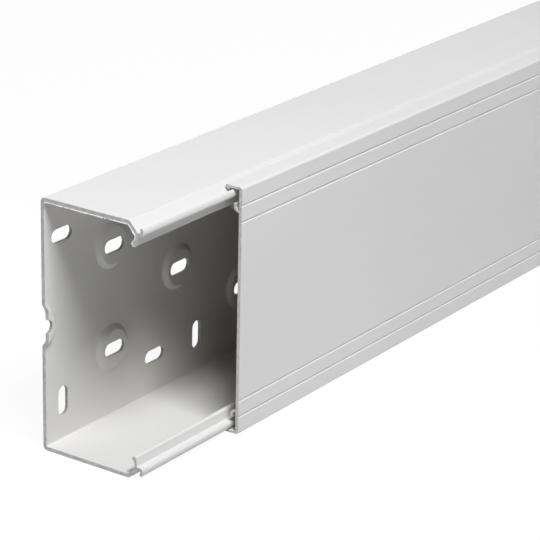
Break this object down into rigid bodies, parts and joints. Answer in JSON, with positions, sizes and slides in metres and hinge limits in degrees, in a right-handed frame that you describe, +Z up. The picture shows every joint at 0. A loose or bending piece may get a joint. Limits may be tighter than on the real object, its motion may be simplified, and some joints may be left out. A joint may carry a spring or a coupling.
{
  "type": "cord cover raceway",
  "caption": "Rigid PVC trunking channel with a slotted back wall, open ends and a long clip-on cover that hides and carries cords.",
  "frame": {"origin": "under the middle of the whole object, on the surface that it stands on", "axes": "+X along the stock, away from the end whose base shows in front of the cover; +Y towards the wall that the back is fixed to; +Z up"},
  "size_m": [2.0656, 0.0604, 0.12],
  "materials": {
    "base_pvc": "satin",
    "cover_pvc": "satin"
  },
  "bodies": {
    "base": {"base_channel": "base_pvc"},
    "cover": {"clip_on_cover": "cover_pvc"}
  },
  "joints": [
    {"name": "cover_slide", "type": "slide", "parent": "base", "child": "cover", "axis": [1, 0, 0], "range_m": [-0.0656, 1.945]}
  ]
}
